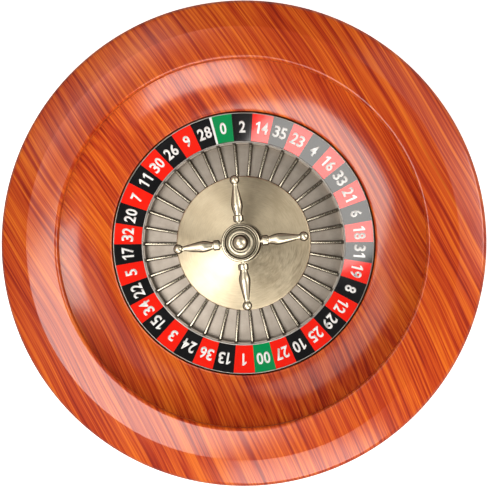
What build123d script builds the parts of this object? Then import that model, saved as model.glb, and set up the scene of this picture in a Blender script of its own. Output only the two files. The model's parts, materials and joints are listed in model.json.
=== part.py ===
from build123d import *
from math import cos, radians, sin, sqrt
import os

# A table-top roulette wheel. The frame's origin is on the table under the spindle, +Z up.
# A ball-bearing hub carries the rotor on a fixed spindle in a turned wooden bowl.

# ---- Driving dimensions, in millimetres and degrees ----

OUTER_RADIUS = 250.0
BREAK_RADIUS, BREAK_HEIGHT = 221.5, 77.5
SHOULDER_RADIUS, SHOULDER_HEIGHT = 247.0, 69.0
LIP_RADIUS, LIP_HEIGHT = 188.5, 82.5
LIP_ROUNDING = 6.0
SHOULDER_ROUNDING = 4.0
BASE_BEVEL = 6.0
TRACK_TOP = 69.5
APRON_HEIGHT = 43.5
WELL_RADIUS = 137.6
TRACK_SAG = 3.9
STAVES = 16
GLUE_LINE = 0.1
LEDGE_DROP = 11.5
TRACK_FLANGE_WIDTH = 7.5
RIM_LEDGE_WIDTH, RIM_LEDGE_HEIGHT = 1.5, 8.0
RIM_HOLLOW_WIDTH, RIM_HOLLOW_DROP = 15.0, 22.0
APRON_WIDTH, APRON_THICKNESS = 12.4, 7.5
TRACK_SHELL = 4.5

FOOT_HEIGHT = 6.0
FOOT_RADIUS = 15.0
FOOT_CIRCLE = 205.0
FOOT_RECESS_RADIUS = 5.0
FEET = 4
BOARD_THICKNESS = 12.0
BOARD_RADIUS = 235.5

POCKETS = 38
ZERO_POCKET_ANGLE = 100.0
POCKET_WALL_RADIUS = 103.6
WALL_THICKNESS = 1.6
FLOOR_OUTER_HEIGHT, FLOOR_INNER_HEIGHT = 29.0, 33.5
FRET_THICKNESS = 1.8
FRET_TOP = 36.5
FRET_END_GAP = 0.3
CONE_RADIUS = 70.1
CONE_EDGE_HEIGHT = 36.5
CONE_FOOT_WIDTH = 3.6
CONE_SHEET = 2.0
CONE_TOP_RADIUS = 21.0

ROTOR_RADIUS = 136.2
ROTOR_CLEARANCE = 1.5
PLATE_THICKNESS = 5.0
BAND_THICKNESS = 1.0
BEZEL_WIDTH = 1.6
RING_INNER_HEIGHT, RING_OUTER_HEIGHT = 38.0, 42.5
RING_THICKNESS = 1.5
TRIM_PROUD = 0.4

ARMS = 4
ARM_ANGLE = 5.9
ARM_HEIGHT = 84.0
ARM_STUD_RADIUS = 2.0
ARM_STUD_START = 9.0

BEARING_BORE = 5.0
BEARING_RADIUS = 13.0
BEARING_WIDTH = 8.0
RACE_INNER, RACE_OUTER = 7.4, 10.6
BALLS = 7
BALL_RADIUS = 2.3
GROOVE_RADIUS = 2.45
CAGE_CLEARANCE = 0.05

FLANGE_RADIUS = 30.0
FLANGE_THICKNESS = 3.0
COLLAR_HEIGHT = 3.5
HUB_RADIUS = 19.0
HUB_FLANGE_RADIUS = 42.0
HUB_FLANGE_THICKNESS = 4.0
SPIGOT_RADIUS = 15.5
SPIGOT_HEIGHT = 5.5
STUD_RADIUS = 3.0

# ---- Heights and radii that follow from them ----

BOARD_TOP = FOOT_HEIGHT + BOARD_THICKNESS
FLANGE_TOP = BOARD_TOP + FLANGE_THICKNESS
ROTOR_BOTTOM = FLANGE_TOP + ROTOR_CLEARANCE
PLATE_TOP = ROTOR_BOTTOM + PLATE_THICKNESS
LOWER_BEARING = FLANGE_TOP + COLLAR_HEIGHT
UPPER_BEARING = LOWER_BEARING + 2 * BEARING_WIDTH
BEARINGS_TOP = UPPER_BEARING + BEARING_WIDTH
HUB_SHOULDER = BEARINGS_TOP + 1.0
SPIGOT_TOP = HUB_SHOULDER + SPIGOT_HEIGHT
CONE_TOP = HUB_SHOULDER + CONE_SHEET
WALL_OUTER = POCKET_WALL_RADIUS + WALL_THICKNESS
RING_INNER_RADIUS = WALL_OUTER + BEZEL_WIDTH
RING_OUTER_RADIUS = ROTOR_RADIUS - BAND_THICKNESS
PITCH_RADIUS = (BEARING_BORE + BEARING_RADIUS) / 2
TRACK_LEDGE = TRACK_TOP - LEDGE_DROP
TRACK_FLANGE_RADIUS = LIP_RADIUS + TRACK_FLANGE_WIDTH

# ---- Fasteners: the seat is where the head lies, and the shank runs along its normal ----

UP_FROM_BOARD = Plane.XY.offset(FOOT_HEIGHT)
UP_FROM_PLATE = Plane.XY.offset(ROTOR_BOTTOM)
DOWN_FROM_FLANGE = Plane(origin=(0, 0, FLANGE_TOP), z_dir=(0, 0, -1))
DOWN_FROM_HUB = Plane(origin=(0, 0, PLATE_TOP + HUB_FLANGE_THICKNESS), z_dir=(0, 0, -1))
UP_FROM_FOOT = Plane.XY.offset(FOOT_HEIGHT / 2)

RIM_SCREWS = dict(seat=UP_FROM_BOARD, circle=220, count=8, start=22.5, shank=2, length=32)
TRACK_SCREWS = dict(seat=UP_FROM_BOARD, circle=143.8, count=8, start=22.5, shank=2, length=30)
FLANGE_SCREWS = dict(seat=DOWN_FROM_FLANGE, circle=22, count=4, start=45, shank=2, length=12)
CARRIER_SCREWS = dict(seat=UP_FROM_PLATE, circle=121, count=8, start=0, shank=1.75, length=13)
HUB_SCREWS = dict(seat=DOWN_FROM_HUB, circle=32, count=6, start=0, shank=2, length=8.5)
FOOT_SCREWS = dict(seat=UP_FROM_FOOT, circle=FOOT_CIRCLE, count=FEET, start=45, shank=1.75,
                   length=12)
HEAD_HEIGHT = 2.2

ALONG = (Align.CENTER, Align.CENTER, Align.MIN)
BEHIND = (Align.CENTER, Align.CENTER, Align.MAX)


def save(name, builder):
    """Label a finished sub-part and write it under its name."""
    builder.part.label = name
    export_step(builder.part, f"parts/{name}.step")


def turn(*corners):
    """Turn a closed outline about the wheel's axis.

    A corner is (radius, height), or (radius, height, rounding).
    """
    points = [corner[:2] for corner in corners]
    roundings = [corner[2] if len(corner) == 3 else 0 for corner in corners]
    with BuildSketch(Plane.XZ) as outline:
        with BuildLine():
            FilletPolyline(*points, radius=roundings, close=True)
        make_face()
    revolve(outline.sketch, axis=Axis.Z)


def countersunk(seat, circle, count, start, shank, length, mode=Mode.ADD):
    """Countersunk screws on a circle, or the holes that they fill."""
    with Locations(seat):
        with PolarLocations(circle, count, start):
            Cylinder(shank, length, align=ALONG, mode=mode)
            Cone(2 * shank, shank, shank, align=ALONG, mode=mode)


def raised_head(seat, circle, count, start, shank, length, mode=Mode.ADD):
    """Screws with a raised cylindrical head on a circle, or the holes for their shanks."""
    with Locations(seat):
        with PolarLocations(circle, count, start):
            Cylinder(shank, length, align=ALONG, mode=mode)
            if mode == Mode.ADD:
                Cylinder(2 * shank, HEAD_HEIGHT, align=BEHIND)


def divide_into_staves():
    """Leave a glue line between the staves that a turned wooden ring is built up from."""
    with PolarLocations(0, STAVES // 2, 180 / STAVES, 180):
        Box(3 * OUTER_RADIUS, GLUE_LINE, OUTER_RADIUS, mode=Mode.SUBTRACT)


def floor_height(radius):
    """Height of the pocket floor, which falls outwards from the cone to the pocket wall."""
    share = (radius - CONE_RADIUS) / (POCKET_WALL_RADIUS - CONE_RADIUS)
    return FLOOR_INNER_HEIGHT + share * (FLOOR_OUTER_HEIGHT - FLOOR_INNER_HEIGHT)


def on_floor(radius):
    """The outline corner where the pocket floor is at this radius."""
    return (radius, floor_height(radius))


def upright(angle, height=0):
    """The upright plane at an angle: local x runs out from the axis and local y is up."""
    turned = radians(angle)
    return Plane(
        origin=(0, 0, height),
        x_dir=(cos(turned), sin(turned), 0),
        z_dir=(sin(turned), -cos(turned), 0),
    )


os.makedirs("parts", exist_ok=True)

# ---- The bowl ----

with BuildPart() as rim_ring:
    turn(
        (LIP_RADIUS, TRACK_TOP),
        (TRACK_FLANGE_RADIUS, TRACK_TOP),
        (TRACK_FLANGE_RADIUS, TRACK_LEDGE),
        (LIP_RADIUS + RIM_LEDGE_WIDTH, TRACK_LEDGE),
        (LIP_RADIUS + RIM_LEDGE_WIDTH, TRACK_LEDGE - RIM_LEDGE_HEIGHT),
        (LIP_RADIUS + RIM_HOLLOW_WIDTH, TRACK_LEDGE - RIM_HOLLOW_DROP),
        (LIP_RADIUS + RIM_HOLLOW_WIDTH, BOARD_TOP),
        (BOARD_RADIUS, BOARD_TOP),
        (BOARD_RADIUS, FOOT_HEIGHT),
        (OUTER_RADIUS - BASE_BEVEL, FOOT_HEIGHT),
        (OUTER_RADIUS, FOOT_HEIGHT + BASE_BEVEL, SHOULDER_ROUNDING),
        (OUTER_RADIUS, SHOULDER_HEIGHT - BASE_BEVEL, SHOULDER_ROUNDING),
        (SHOULDER_RADIUS, SHOULDER_HEIGHT, SHOULDER_ROUNDING),
        (BREAK_RADIUS, BREAK_HEIGHT, LIP_ROUNDING),
        (LIP_RADIUS, LIP_HEIGHT, LIP_ROUNDING),
    )
    countersunk(**RIM_SCREWS, mode=Mode.SUBTRACT)
    divide_into_staves()
save("rim_ring", rim_ring)

with BuildPart() as ball_track:
    with BuildSketch(Plane.XZ) as track_outline:
        with BuildLine():
            Polyline(
                (WELL_RADIUS, APRON_HEIGHT),
                (WELL_RADIUS, BOARD_TOP),
                (WELL_RADIUS + APRON_WIDTH, BOARD_TOP),
                (WELL_RADIUS + APRON_WIDTH, APRON_HEIGHT - APRON_THICKNESS),
                (LIP_RADIUS - TRACK_SHELL, TRACK_LEDGE),
                (TRACK_FLANGE_RADIUS, TRACK_LEDGE),
                (TRACK_FLANGE_RADIUS, TRACK_TOP),
                (LIP_RADIUS, TRACK_TOP),
            )
            SagittaArc((WELL_RADIUS, APRON_HEIGHT), (LIP_RADIUS, TRACK_TOP), -TRACK_SAG)
        make_face()
    revolve(track_outline.sketch, axis=Axis.Z)
    countersunk(**TRACK_SCREWS, mode=Mode.SUBTRACT)
    divide_into_staves()
save("ball_track", ball_track)

with BuildPart() as base_board:
    with Locations(UP_FROM_BOARD):
        Cylinder(BOARD_RADIUS, BOARD_THICKNESS, align=ALONG)
        Hole(BEARING_BORE)
        Cylinder(13, 8, align=ALONG, mode=Mode.SUBTRACT)
    countersunk(**RIM_SCREWS, mode=Mode.SUBTRACT)
    countersunk(**TRACK_SCREWS, mode=Mode.SUBTRACT)
    raised_head(**FLANGE_SCREWS, mode=Mode.SUBTRACT)
    raised_head(**FOOT_SCREWS, mode=Mode.SUBTRACT)
save("base_board", base_board)

with BuildPart() as rim_screws:
    countersunk(**RIM_SCREWS)
save("rim_screws", rim_screws)

with BuildPart() as track_screws:
    countersunk(**TRACK_SCREWS)
save("track_screws", track_screws)

for index in range(FEET):
    angle = radians(FOOT_SCREWS["start"] + index * 360 / FEET)
    foot_centre = (FOOT_CIRCLE * cos(angle), FOOT_CIRCLE * sin(angle), 0)
    with BuildPart(Plane(foot_centre)) as foot:
        Cone(FOOT_RADIUS - 1.5, FOOT_RADIUS, FOOT_HEIGHT, align=ALONG)
        chamfer(foot.edges().sort_by(Axis.Z)[0], 0.8)
        Cylinder(FOOT_RECESS_RADIUS, FOOT_HEIGHT / 2, align=ALONG, mode=Mode.SUBTRACT)
        Cylinder(FOOT_SCREWS["shank"], FOOT_HEIGHT, align=ALONG, mode=Mode.SUBTRACT)
    save(f"foot_{index + 1}", foot)

with BuildPart() as foot_screws:
    raised_head(**FOOT_SCREWS)
save("foot_screws", foot_screws)

# ---- The spindle and what is fixed on it ----

with BuildPart() as spindle_flange:
    turn(
        (BEARING_BORE, BOARD_TOP),
        (FLANGE_RADIUS, BOARD_TOP),
        (FLANGE_RADIUS, FLANGE_TOP, 0.8),
        (BEARING_BORE, FLANGE_TOP),
    )
    countersunk(**FLANGE_SCREWS, mode=Mode.SUBTRACT)
save("spindle_flange", spindle_flange)

with BuildPart() as flange_screws:
    countersunk(**FLANGE_SCREWS)
save("flange_screws", flange_screws)

with BuildPart() as spindle:
    turn(
        (0, FOOT_HEIGHT + 1),
        (BEARING_BORE, FOOT_HEIGHT + 1),
        (BEARING_BORE, FLANGE_TOP),
        (BEARING_BORE + 2, FLANGE_TOP),
        (BEARING_BORE + 2, LOWER_BEARING),
        (BEARING_BORE, LOWER_BEARING),
        (BEARING_BORE, BEARINGS_TOP),
        (BEARING_BORE - 1, BEARINGS_TOP),
        (BEARING_BORE - 1, SPIGOT_TOP - 1),
        (0, SPIGOT_TOP - 1),
    )
save("spindle", spindle)

WASHER_THICKNESS = 1.5
with BuildPart() as spindle_washer:
    with BuildSketch(Plane.XY.offset(FOOT_HEIGHT + 8 - WASHER_THICKNESS)):
        Circle(10.5)
        Circle(BEARING_BORE, mode=Mode.SUBTRACT)
    extrude(amount=WASHER_THICKNESS)
save("spindle_washer", spindle_washer)

with BuildPart() as spindle_nut:
    with BuildSketch(Plane.XY.offset(FOOT_HEIGHT + 1.5)):
        RegularPolygon(8.5, 6, major_radius=False)
        Circle(BEARING_BORE, mode=Mode.SUBTRACT)
    extrude(amount=5)
save("spindle_nut", spindle_nut)

with BuildPart() as bearing_spacer:
    with BuildSketch(Plane.XY.offset(LOWER_BEARING + BEARING_WIDTH)):
        Circle(RACE_INNER - 0.2)
        Circle(BEARING_BORE, mode=Mode.SUBTRACT)
    extrude(amount=BEARING_WIDTH)
save("bearing_spacer", bearing_spacer)

with BuildPart() as spindle_top_nut:
    with BuildSketch(Plane.XY.offset(BEARINGS_TOP)):
        RegularPolygon(6.5, 6, major_radius=False)
        Circle(BEARING_BORE - 1, mode=Mode.SUBTRACT)
    extrude(amount=4)
save("spindle_top_nut", spindle_top_nut)

# ---- The two ball bearings ----

for position, bottom in (("lower", LOWER_BEARING), ("upper", UPPER_BEARING)):
    middle = bottom + BEARING_WIDTH / 2
    ball_plane = Plane.XY.offset(middle)

    for race, inside, outside in (
        ("inner", BEARING_BORE, RACE_INNER),
        ("outer", RACE_OUTER, BEARING_RADIUS),
    ):
        with BuildPart() as bearing_race:
            with BuildSketch(Plane.XZ) as race_outline:
                with Locations(((inside + outside) / 2, middle)):
                    Rectangle(outside - inside, BEARING_WIDTH)
                with Locations((PITCH_RADIUS, middle)):
                    Circle(GROOVE_RADIUS, mode=Mode.SUBTRACT)
            revolve(race_outline.sketch, axis=Axis.Z)
        save(f"{position}_{race}_race", bearing_race)

    with BuildPart(ball_plane) as cage:
        Cylinder(PITCH_RADIUS + 0.8, BEARING_WIDTH - 2)
        Cylinder(PITCH_RADIUS - 0.8, BEARING_WIDTH, mode=Mode.SUBTRACT)
        with PolarLocations(PITCH_RADIUS, BALLS):
            Cylinder(
                BALL_RADIUS + CAGE_CLEARANCE, 4, rotation=(0, 90, 0), mode=Mode.SUBTRACT
            )
    save(f"{position}_cage", cage)

    with BuildPart(ball_plane) as balls:
        with PolarLocations(PITCH_RADIUS, BALLS):
            Sphere(BALL_RADIUS)
    save(f"{position}_balls", balls)

# ---- The hub, which turns on the bearings ----

CIRCLIP_THICKNESS = 1.2
CIRCLIP_RADIUS = BEARING_RADIUS + 0.6
with BuildPart() as hub:
    turn(
        (BEARING_RADIUS, ROTOR_BOTTOM),
        (HUB_RADIUS, ROTOR_BOTTOM),
        (HUB_RADIUS, PLATE_TOP),
        (HUB_FLANGE_RADIUS, PLATE_TOP),
        (HUB_FLANGE_RADIUS, PLATE_TOP + HUB_FLANGE_THICKNESS, 1),
        (HUB_RADIUS, PLATE_TOP + HUB_FLANGE_THICKNESS, 2),
        (HUB_RADIUS, HUB_SHOULDER),
        (SPIGOT_RADIUS, HUB_SHOULDER),
        (SPIGOT_RADIUS, SPIGOT_TOP),
        (BEARING_RADIUS, SPIGOT_TOP),
        (BEARING_RADIUS, UPPER_BEARING),
        (BEARING_RADIUS - 1.5, UPPER_BEARING),
        (BEARING_RADIUS - 1.5, LOWER_BEARING + BEARING_WIDTH),
        (BEARING_RADIUS, LOWER_BEARING + BEARING_WIDTH),
        (BEARING_RADIUS, LOWER_BEARING),
        (CIRCLIP_RADIUS, LOWER_BEARING),
        (CIRCLIP_RADIUS, LOWER_BEARING - CIRCLIP_THICKNESS),
        (BEARING_RADIUS, LOWER_BEARING - CIRCLIP_THICKNESS),
    )
    raised_head(**HUB_SCREWS, mode=Mode.SUBTRACT)
save("hub", hub)

with BuildPart() as hub_screws:
    raised_head(**HUB_SCREWS)
save("hub_screws", hub_screws)

with BuildPart() as hub_circlip:
    with BuildSketch(Plane.XY.offset(LOWER_BEARING - CIRCLIP_THICKNESS)):
        Circle(CIRCLIP_RADIUS)
        Circle(BEARING_RADIUS - 2.2, mode=Mode.SUBTRACT)
        with Locations((CIRCLIP_RADIUS, 0)):
            Rectangle(8, 5, mode=Mode.SUBTRACT)
    extrude(amount=CIRCLIP_THICKNESS)
save("hub_circlip", hub_circlip)

# ---- The wheel head ----

with BuildPart() as rotor_plate:
    with BuildSketch(Plane.XY.offset(ROTOR_BOTTOM)):
        Circle(RING_OUTER_RADIUS)
        Circle(HUB_RADIUS, mode=Mode.SUBTRACT)
    extrude(amount=PLATE_THICKNESS)
    raised_head(**HUB_SCREWS, mode=Mode.SUBTRACT)
    countersunk(**CARRIER_SCREWS, mode=Mode.SUBTRACT)
save("rotor_plate", rotor_plate)

with BuildPart() as carrier_ring:
    turn(
        (WALL_OUTER, PLATE_TOP),
        (RING_OUTER_RADIUS, PLATE_TOP),
        (RING_OUTER_RADIUS, RING_OUTER_HEIGHT - RING_THICKNESS),
        (RING_INNER_RADIUS, RING_INNER_HEIGHT - RING_THICKNESS),
        (WALL_OUTER, RING_INNER_HEIGHT - RING_THICKNESS),
    )
    countersunk(**CARRIER_SCREWS, mode=Mode.SUBTRACT)
save("carrier_ring", carrier_ring)

with BuildPart() as carrier_screws:
    countersunk(**CARRIER_SCREWS)
save("carrier_screws", carrier_screws)

with BuildPart() as rotor_band:
    turn(
        (RING_OUTER_RADIUS, ROTOR_BOTTOM),
        (ROTOR_RADIUS, ROTOR_BOTTOM),
        (ROTOR_RADIUS, RING_OUTER_HEIGHT + TRIM_PROUD, 0.4),
        (RING_OUTER_RADIUS, RING_OUTER_HEIGHT + TRIM_PROUD, 0.4),
    )
save("rotor_band", rotor_band)

with BuildPart() as number_ring:
    turn(
        (RING_INNER_RADIUS, RING_INNER_HEIGHT - RING_THICKNESS),
        (RING_OUTER_RADIUS, RING_OUTER_HEIGHT - RING_THICKNESS),
        (RING_OUTER_RADIUS, RING_OUTER_HEIGHT),
        (RING_INNER_RADIUS, RING_INNER_HEIGHT),
    )
save("number_ring", number_ring)

with BuildPart() as inner_bezel:
    turn(
        (WALL_OUTER, RING_INNER_HEIGHT - RING_THICKNESS),
        (RING_INNER_RADIUS, RING_INNER_HEIGHT - RING_THICKNESS),
        (RING_INNER_RADIUS, RING_INNER_HEIGHT + TRIM_PROUD, 0.5),
        (WALL_OUTER, RING_INNER_HEIGHT + TRIM_PROUD, 0.5),
    )
save("inner_bezel", inner_bezel)

# ---- The pockets ----

FLOOR_INNER_RADIUS = HUB_FLANGE_RADIUS + 4
CONE_SEAT_RADIUS = CONE_RADIUS - CONE_FOOT_WIDTH
with BuildPart() as pocket_floor:
    turn(
        (FLOOR_INNER_RADIUS, PLATE_TOP),
        (WALL_OUTER, PLATE_TOP),
        on_floor(WALL_OUTER),
        on_floor(CONE_SEAT_RADIUS),
        (FLOOR_INNER_RADIUS, floor_height(CONE_SEAT_RADIUS)),
    )
save("pocket_floor", pocket_floor)

with BuildPart() as pocket_wall:
    turn(
        on_floor(POCKET_WALL_RADIUS),
        on_floor(WALL_OUTER),
        (WALL_OUTER, RING_INNER_HEIGHT),
        (POCKET_WALL_RADIUS, RING_INNER_HEIGHT, 0.6),
    )
save("pocket_wall", pocket_wall)

FRET_START = CONE_RADIUS + FRET_END_GAP
FRET_END = POCKET_WALL_RADIUS - FRET_END_GAP
with BuildPart() as frets:
    for index in range(POCKETS):
        with BuildSketch(upright(ZERO_POCKET_ANGLE + (index + 0.5) * 360 / POCKETS)) as side:
            with BuildLine():
                Polyline(
                    on_floor(FRET_START),
                    on_floor(FRET_END),
                    (FRET_END, FRET_TOP),
                    (FRET_START, FRET_TOP),
                    close=True,
                )
            make_face()
        extrude(side.sketch, amount=FRET_THICKNESS / 2, both=True)
    chamfer(frets.faces().filter_by(Axis.Z).group_by(Axis.Z)[-1].edges(), 0.4)
save("frets", frets)

# ---- The cone ----

with BuildPart() as cone:
    turn(
        on_floor(CONE_SEAT_RADIUS),
        on_floor(CONE_RADIUS),
        (CONE_RADIUS, CONE_EDGE_HEIGHT, 1.2),
        (CONE_TOP_RADIUS, CONE_TOP, 8),
        (SPIGOT_RADIUS, CONE_TOP),
        (SPIGOT_RADIUS, HUB_SHOULDER),
        (CONE_TOP_RADIUS - 0.4, HUB_SHOULDER),
        (CONE_SEAT_RADIUS, CONE_EDGE_HEIGHT - 1.1),
    )
save("cone", cone)

# ---- The turret ----

BOSS_BOTTOM = ARM_HEIGHT - 7
BOSS_RADIUS = 18.0
BOSS_FOOT_RADIUS = 11.5
COLUMN_WAIST_RADIUS = 9.6
BEAD_RADIUS = 1.7
BEAD_HEIGHT = ARM_HEIGHT + 5
BEAD_INNER_RADIUS = 16.9
VALLEY_INNER, VALLEY_MIDDLE, VALLEY_OUTER = 12.6, 14.4, 16.3
VALLEY_DEPTH = 2.6
CAP_SEAT = ARM_HEIGHT + 5
CAP_TOP = CAP_SEAT + 3
STUD_BOTTOM = SPIGOT_TOP + 7
STUD_TOP = CAP_TOP + 6

with BuildPart() as turret_column:
    with BuildSketch(Plane.XZ) as column_outline:
        with BuildLine():
            Polyline(
                (STUD_RADIUS, BOSS_BOTTOM),
                (STUD_RADIUS, STUD_BOTTOM),
                (0, STUD_BOTTOM),
                (0, SPIGOT_TOP + 2),
                (SPIGOT_RADIUS, SPIGOT_TOP + 2),
                (SPIGOT_RADIUS, CONE_TOP),
                (HUB_RADIUS + 0.5, CONE_TOP),
                (HUB_RADIUS + 0.5, CONE_TOP + 3),
                (SPIGOT_RADIUS + 2.3, CONE_TOP + 6.5),
            )
            ThreePointArc(
                (SPIGOT_RADIUS + 2.3, CONE_TOP + 6.5),
                (COLUMN_WAIST_RADIUS, CONE_TOP + 12.5),
                (BOSS_FOOT_RADIUS, BOSS_BOTTOM),
            )
            Line((BOSS_FOOT_RADIUS, BOSS_BOTTOM), (STUD_RADIUS, BOSS_BOTTOM))
        make_face()
    revolve(column_outline.sketch, axis=Axis.Z)
save("turret_column", turret_column)


arm_planes = [upright(ARM_ANGLE + index * 360 / ARMS, ARM_HEIGHT) for index in range(ARMS)]

with BuildPart() as turret_boss:
    with BuildSketch(Plane.XZ) as boss_outline:
        with BuildLine():
            FilletPolyline(
                (BOSS_RADIUS, BEAD_HEIGHT - BEAD_RADIUS),
                (BOSS_RADIUS, BOSS_BOTTOM + 3.5),
                (BOSS_FOOT_RADIUS, BOSS_BOTTOM),
                (STUD_RADIUS, BOSS_BOTTOM),
                (STUD_RADIUS, CAP_SEAT),
                (VALLEY_INNER, CAP_SEAT),
                (VALLEY_MIDDLE, CAP_SEAT - VALLEY_DEPTH),
                (VALLEY_OUTER, CAP_SEAT + 0.3),
                (BEAD_INNER_RADIUS, BEAD_HEIGHT + BEAD_RADIUS),
                (BOSS_RADIUS, BEAD_HEIGHT + BEAD_RADIUS),
                radius=[1.5, 0, 0, 0, 0, 0.2, 0, 0.4],
            )
            ThreePointArc(
                (BOSS_RADIUS, BEAD_HEIGHT + BEAD_RADIUS),
                (BOSS_RADIUS + BEAD_RADIUS, BEAD_HEIGHT),
                (BOSS_RADIUS, BEAD_HEIGHT - BEAD_RADIUS),
            )
        make_face()
    revolve(boss_outline.sketch, axis=Axis.Z)
    for arm_plane in arm_planes:
        with Locations(Plane(arm_plane.origin, z_dir=arm_plane.x_dir).offset(ARM_STUD_START)):
            Cylinder(ARM_STUD_RADIUS, BOSS_RADIUS, align=ALONG, mode=Mode.SUBTRACT)
save("turret_boss", turret_boss)

ARM_COLLAR = 21.1
ARM_COLLAR_END = 28.6
ARM_RADIUS = 5.8
ARM_WAIST = 3.8
ARM_WIDEST = 37.6
ARM_NECK = 2.2
ARM_BALL = 64.2
ARM_BALL_RADIUS = 4.9
BALL_START = ARM_BALL - sqrt(ARM_BALL_RADIUS**2 - ARM_NECK**2)

for number, arm_plane in enumerate(arm_planes, start=1):
    with BuildPart() as turret_arm:
        with BuildSketch(arm_plane) as arm_outline:
            with BuildLine():
                FilletPolyline(
                    (ARM_BALL + ARM_BALL_RADIUS, 0),
                    (ARM_STUD_START, 0),
                    (ARM_STUD_START, ARM_STUD_RADIUS),
                    (ARM_COLLAR, ARM_STUD_RADIUS),
                    (ARM_COLLAR, ARM_RADIUS),
                    (ARM_COLLAR_END, ARM_RADIUS),
                    (ARM_COLLAR_END, ARM_WAIST),
                    radius=[0, 0, 0, 1.2, 1.2],
                )
                Spline(
                    (ARM_COLLAR_END, ARM_WAIST),
                    (ARM_WIDEST, ARM_RADIUS),
                    (ARM_WIDEST + 10, ARM_RADIUS - 1.2),
                    (BALL_START, ARM_NECK),
                )
                ThreePointArc(
                    (BALL_START, ARM_NECK),
                    (ARM_BALL, ARM_BALL_RADIUS),
                    (ARM_BALL + ARM_BALL_RADIUS, 0),
                )
            make_face()
        revolve(arm_outline.sketch, axis=Axis(arm_plane.origin, arm_plane.x_dir))
    save(f"turret_arm_{number}", turret_arm)

with BuildPart() as turret_cap:
    turn(
        (STUD_RADIUS, CAP_SEAT),
        (12.3, CAP_SEAT, 0.4),
        (12.3, CAP_TOP - 0.6, 1),
        (10.1, CAP_TOP - 0.6, 1),
        (9.4, CAP_TOP - 1.6),
        (8.6, CAP_TOP - 1.6),
        (8.6, CAP_TOP),
        (STUD_RADIUS, CAP_TOP),
    )
save("turret_cap", turret_cap)

FINIAL_RADIUS = 8.0
FINIAL_NECK = 5.2
FINIAL_CENTRE = CAP_TOP + 6.7
NECK_TOP = FINIAL_CENTRE - sqrt(FINIAL_RADIUS**2 - FINIAL_NECK**2)

with BuildPart() as finial:
    with BuildSketch(Plane.XZ) as finial_outline:
        with BuildLine():
            FilletPolyline(
                (0, FINIAL_CENTRE + FINIAL_RADIUS),
                (0, STUD_TOP),
                (STUD_RADIUS, STUD_TOP),
                (STUD_RADIUS, CAP_TOP),
                (7.5, CAP_TOP),
                (7.5, CAP_TOP + 0.4),
                (FINIAL_NECK, CAP_TOP + 0.4),
                (FINIAL_NECK, NECK_TOP),
                radius=[0, 0, 0, 0.15, 0.15, 0.1],
            )
            ThreePointArc(
                (FINIAL_NECK, NECK_TOP),
                (FINIAL_RADIUS, FINIAL_CENTRE),
                (0, FINIAL_CENTRE + FINIAL_RADIUS),
            )
        make_face()
    revolve(finial_outline.sketch, axis=Axis.Z)
save("finial", finial)

with BuildPart() as turret_stud:
    with BuildSketch(Plane.XY.offset(STUD_BOTTOM)):
        Circle(STUD_RADIUS)
    extrude(amount=STUD_TOP - STUD_BOTTOM)
save("turret_stud", turret_stud)
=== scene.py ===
"""A table-top roulette wheel: turned pieces, their finishes and a plain studio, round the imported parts."""

import json
import logging
import math
from dataclasses import dataclass
from enum import Enum
from functools import cache

import bmesh
import bpy
from mathutils import Matrix, Vector


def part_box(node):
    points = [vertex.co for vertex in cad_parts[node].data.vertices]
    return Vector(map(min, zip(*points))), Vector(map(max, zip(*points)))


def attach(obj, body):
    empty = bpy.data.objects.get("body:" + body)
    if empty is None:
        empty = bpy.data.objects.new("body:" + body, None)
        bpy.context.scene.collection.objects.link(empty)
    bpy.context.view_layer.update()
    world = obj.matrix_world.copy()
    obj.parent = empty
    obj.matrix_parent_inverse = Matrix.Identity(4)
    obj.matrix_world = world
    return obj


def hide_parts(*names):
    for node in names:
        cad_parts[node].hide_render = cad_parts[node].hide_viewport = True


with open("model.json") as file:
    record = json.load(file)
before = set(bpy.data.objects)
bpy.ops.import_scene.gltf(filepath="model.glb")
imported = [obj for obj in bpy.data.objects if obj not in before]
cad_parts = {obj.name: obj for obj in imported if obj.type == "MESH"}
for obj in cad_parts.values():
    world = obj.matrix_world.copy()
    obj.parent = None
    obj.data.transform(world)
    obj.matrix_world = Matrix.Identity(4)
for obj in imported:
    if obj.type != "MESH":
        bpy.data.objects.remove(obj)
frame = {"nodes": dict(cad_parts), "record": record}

LOG = logging.getLogger("roulette_wheel")
MM = 0.001
FULL_TURN = 2 * math.pi
BOWL, ROTOR = "bowl", "rotor"
POCKETS = 38
ZERO_ANGLE = 100.0
HALF_POCKET = 180 / POCKETS
CONE_SEAT = 66.5
FLOOR_HIGH = 33.5
STUD_RADIUS = 3.0

Point = tuple[float, float]
Corner = tuple[float, ...]
Colour = tuple[float, float, float]
Mesh = bpy.types.Mesh
Object = bpy.types.Object
Material = bpy.types.Material
Tree = bpy.types.NodeTree
Socket = bpy.types.NodeSocket
Shape = bmesh.types.BMesh
Term = float | Corner | Socket


# ---- Where things are ----


@dataclass(frozen=True)
class Span:
    """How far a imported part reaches, in millimetres."""

    outer: float
    low: float
    high: float


def span(node: str) -> Span:
    """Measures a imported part: its reach along X from the spindle's axis, and its lowest and highest level."""
    low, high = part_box(node)
    return Span(high.x / MM, low.z / MM, high.z / MM)


# ---- Outlines ----


def sweep(centre: Vector, start: Vector, end: Vector, steps: int) -> list[Point]:
    """Follows the shorter arc between two points.

    Args:
        centre: The arc's centre.
        start: Its first point.
        end: Its last point.
        steps: How many chords stand for it.

    Returns:
        The arc's points, both ends included.
    """
    first, last = start - centre, end - centre
    begin = math.atan2(first.y, first.x)
    turn = (math.atan2(last.y, last.x) - begin + math.pi) % FULL_TURN - math.pi
    angles = [begin + turn * step / steps for step in range(steps + 1)]
    return [(centre.x + first.length * math.cos(a), centre.y + first.length * math.sin(a)) for a in angles]


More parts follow.
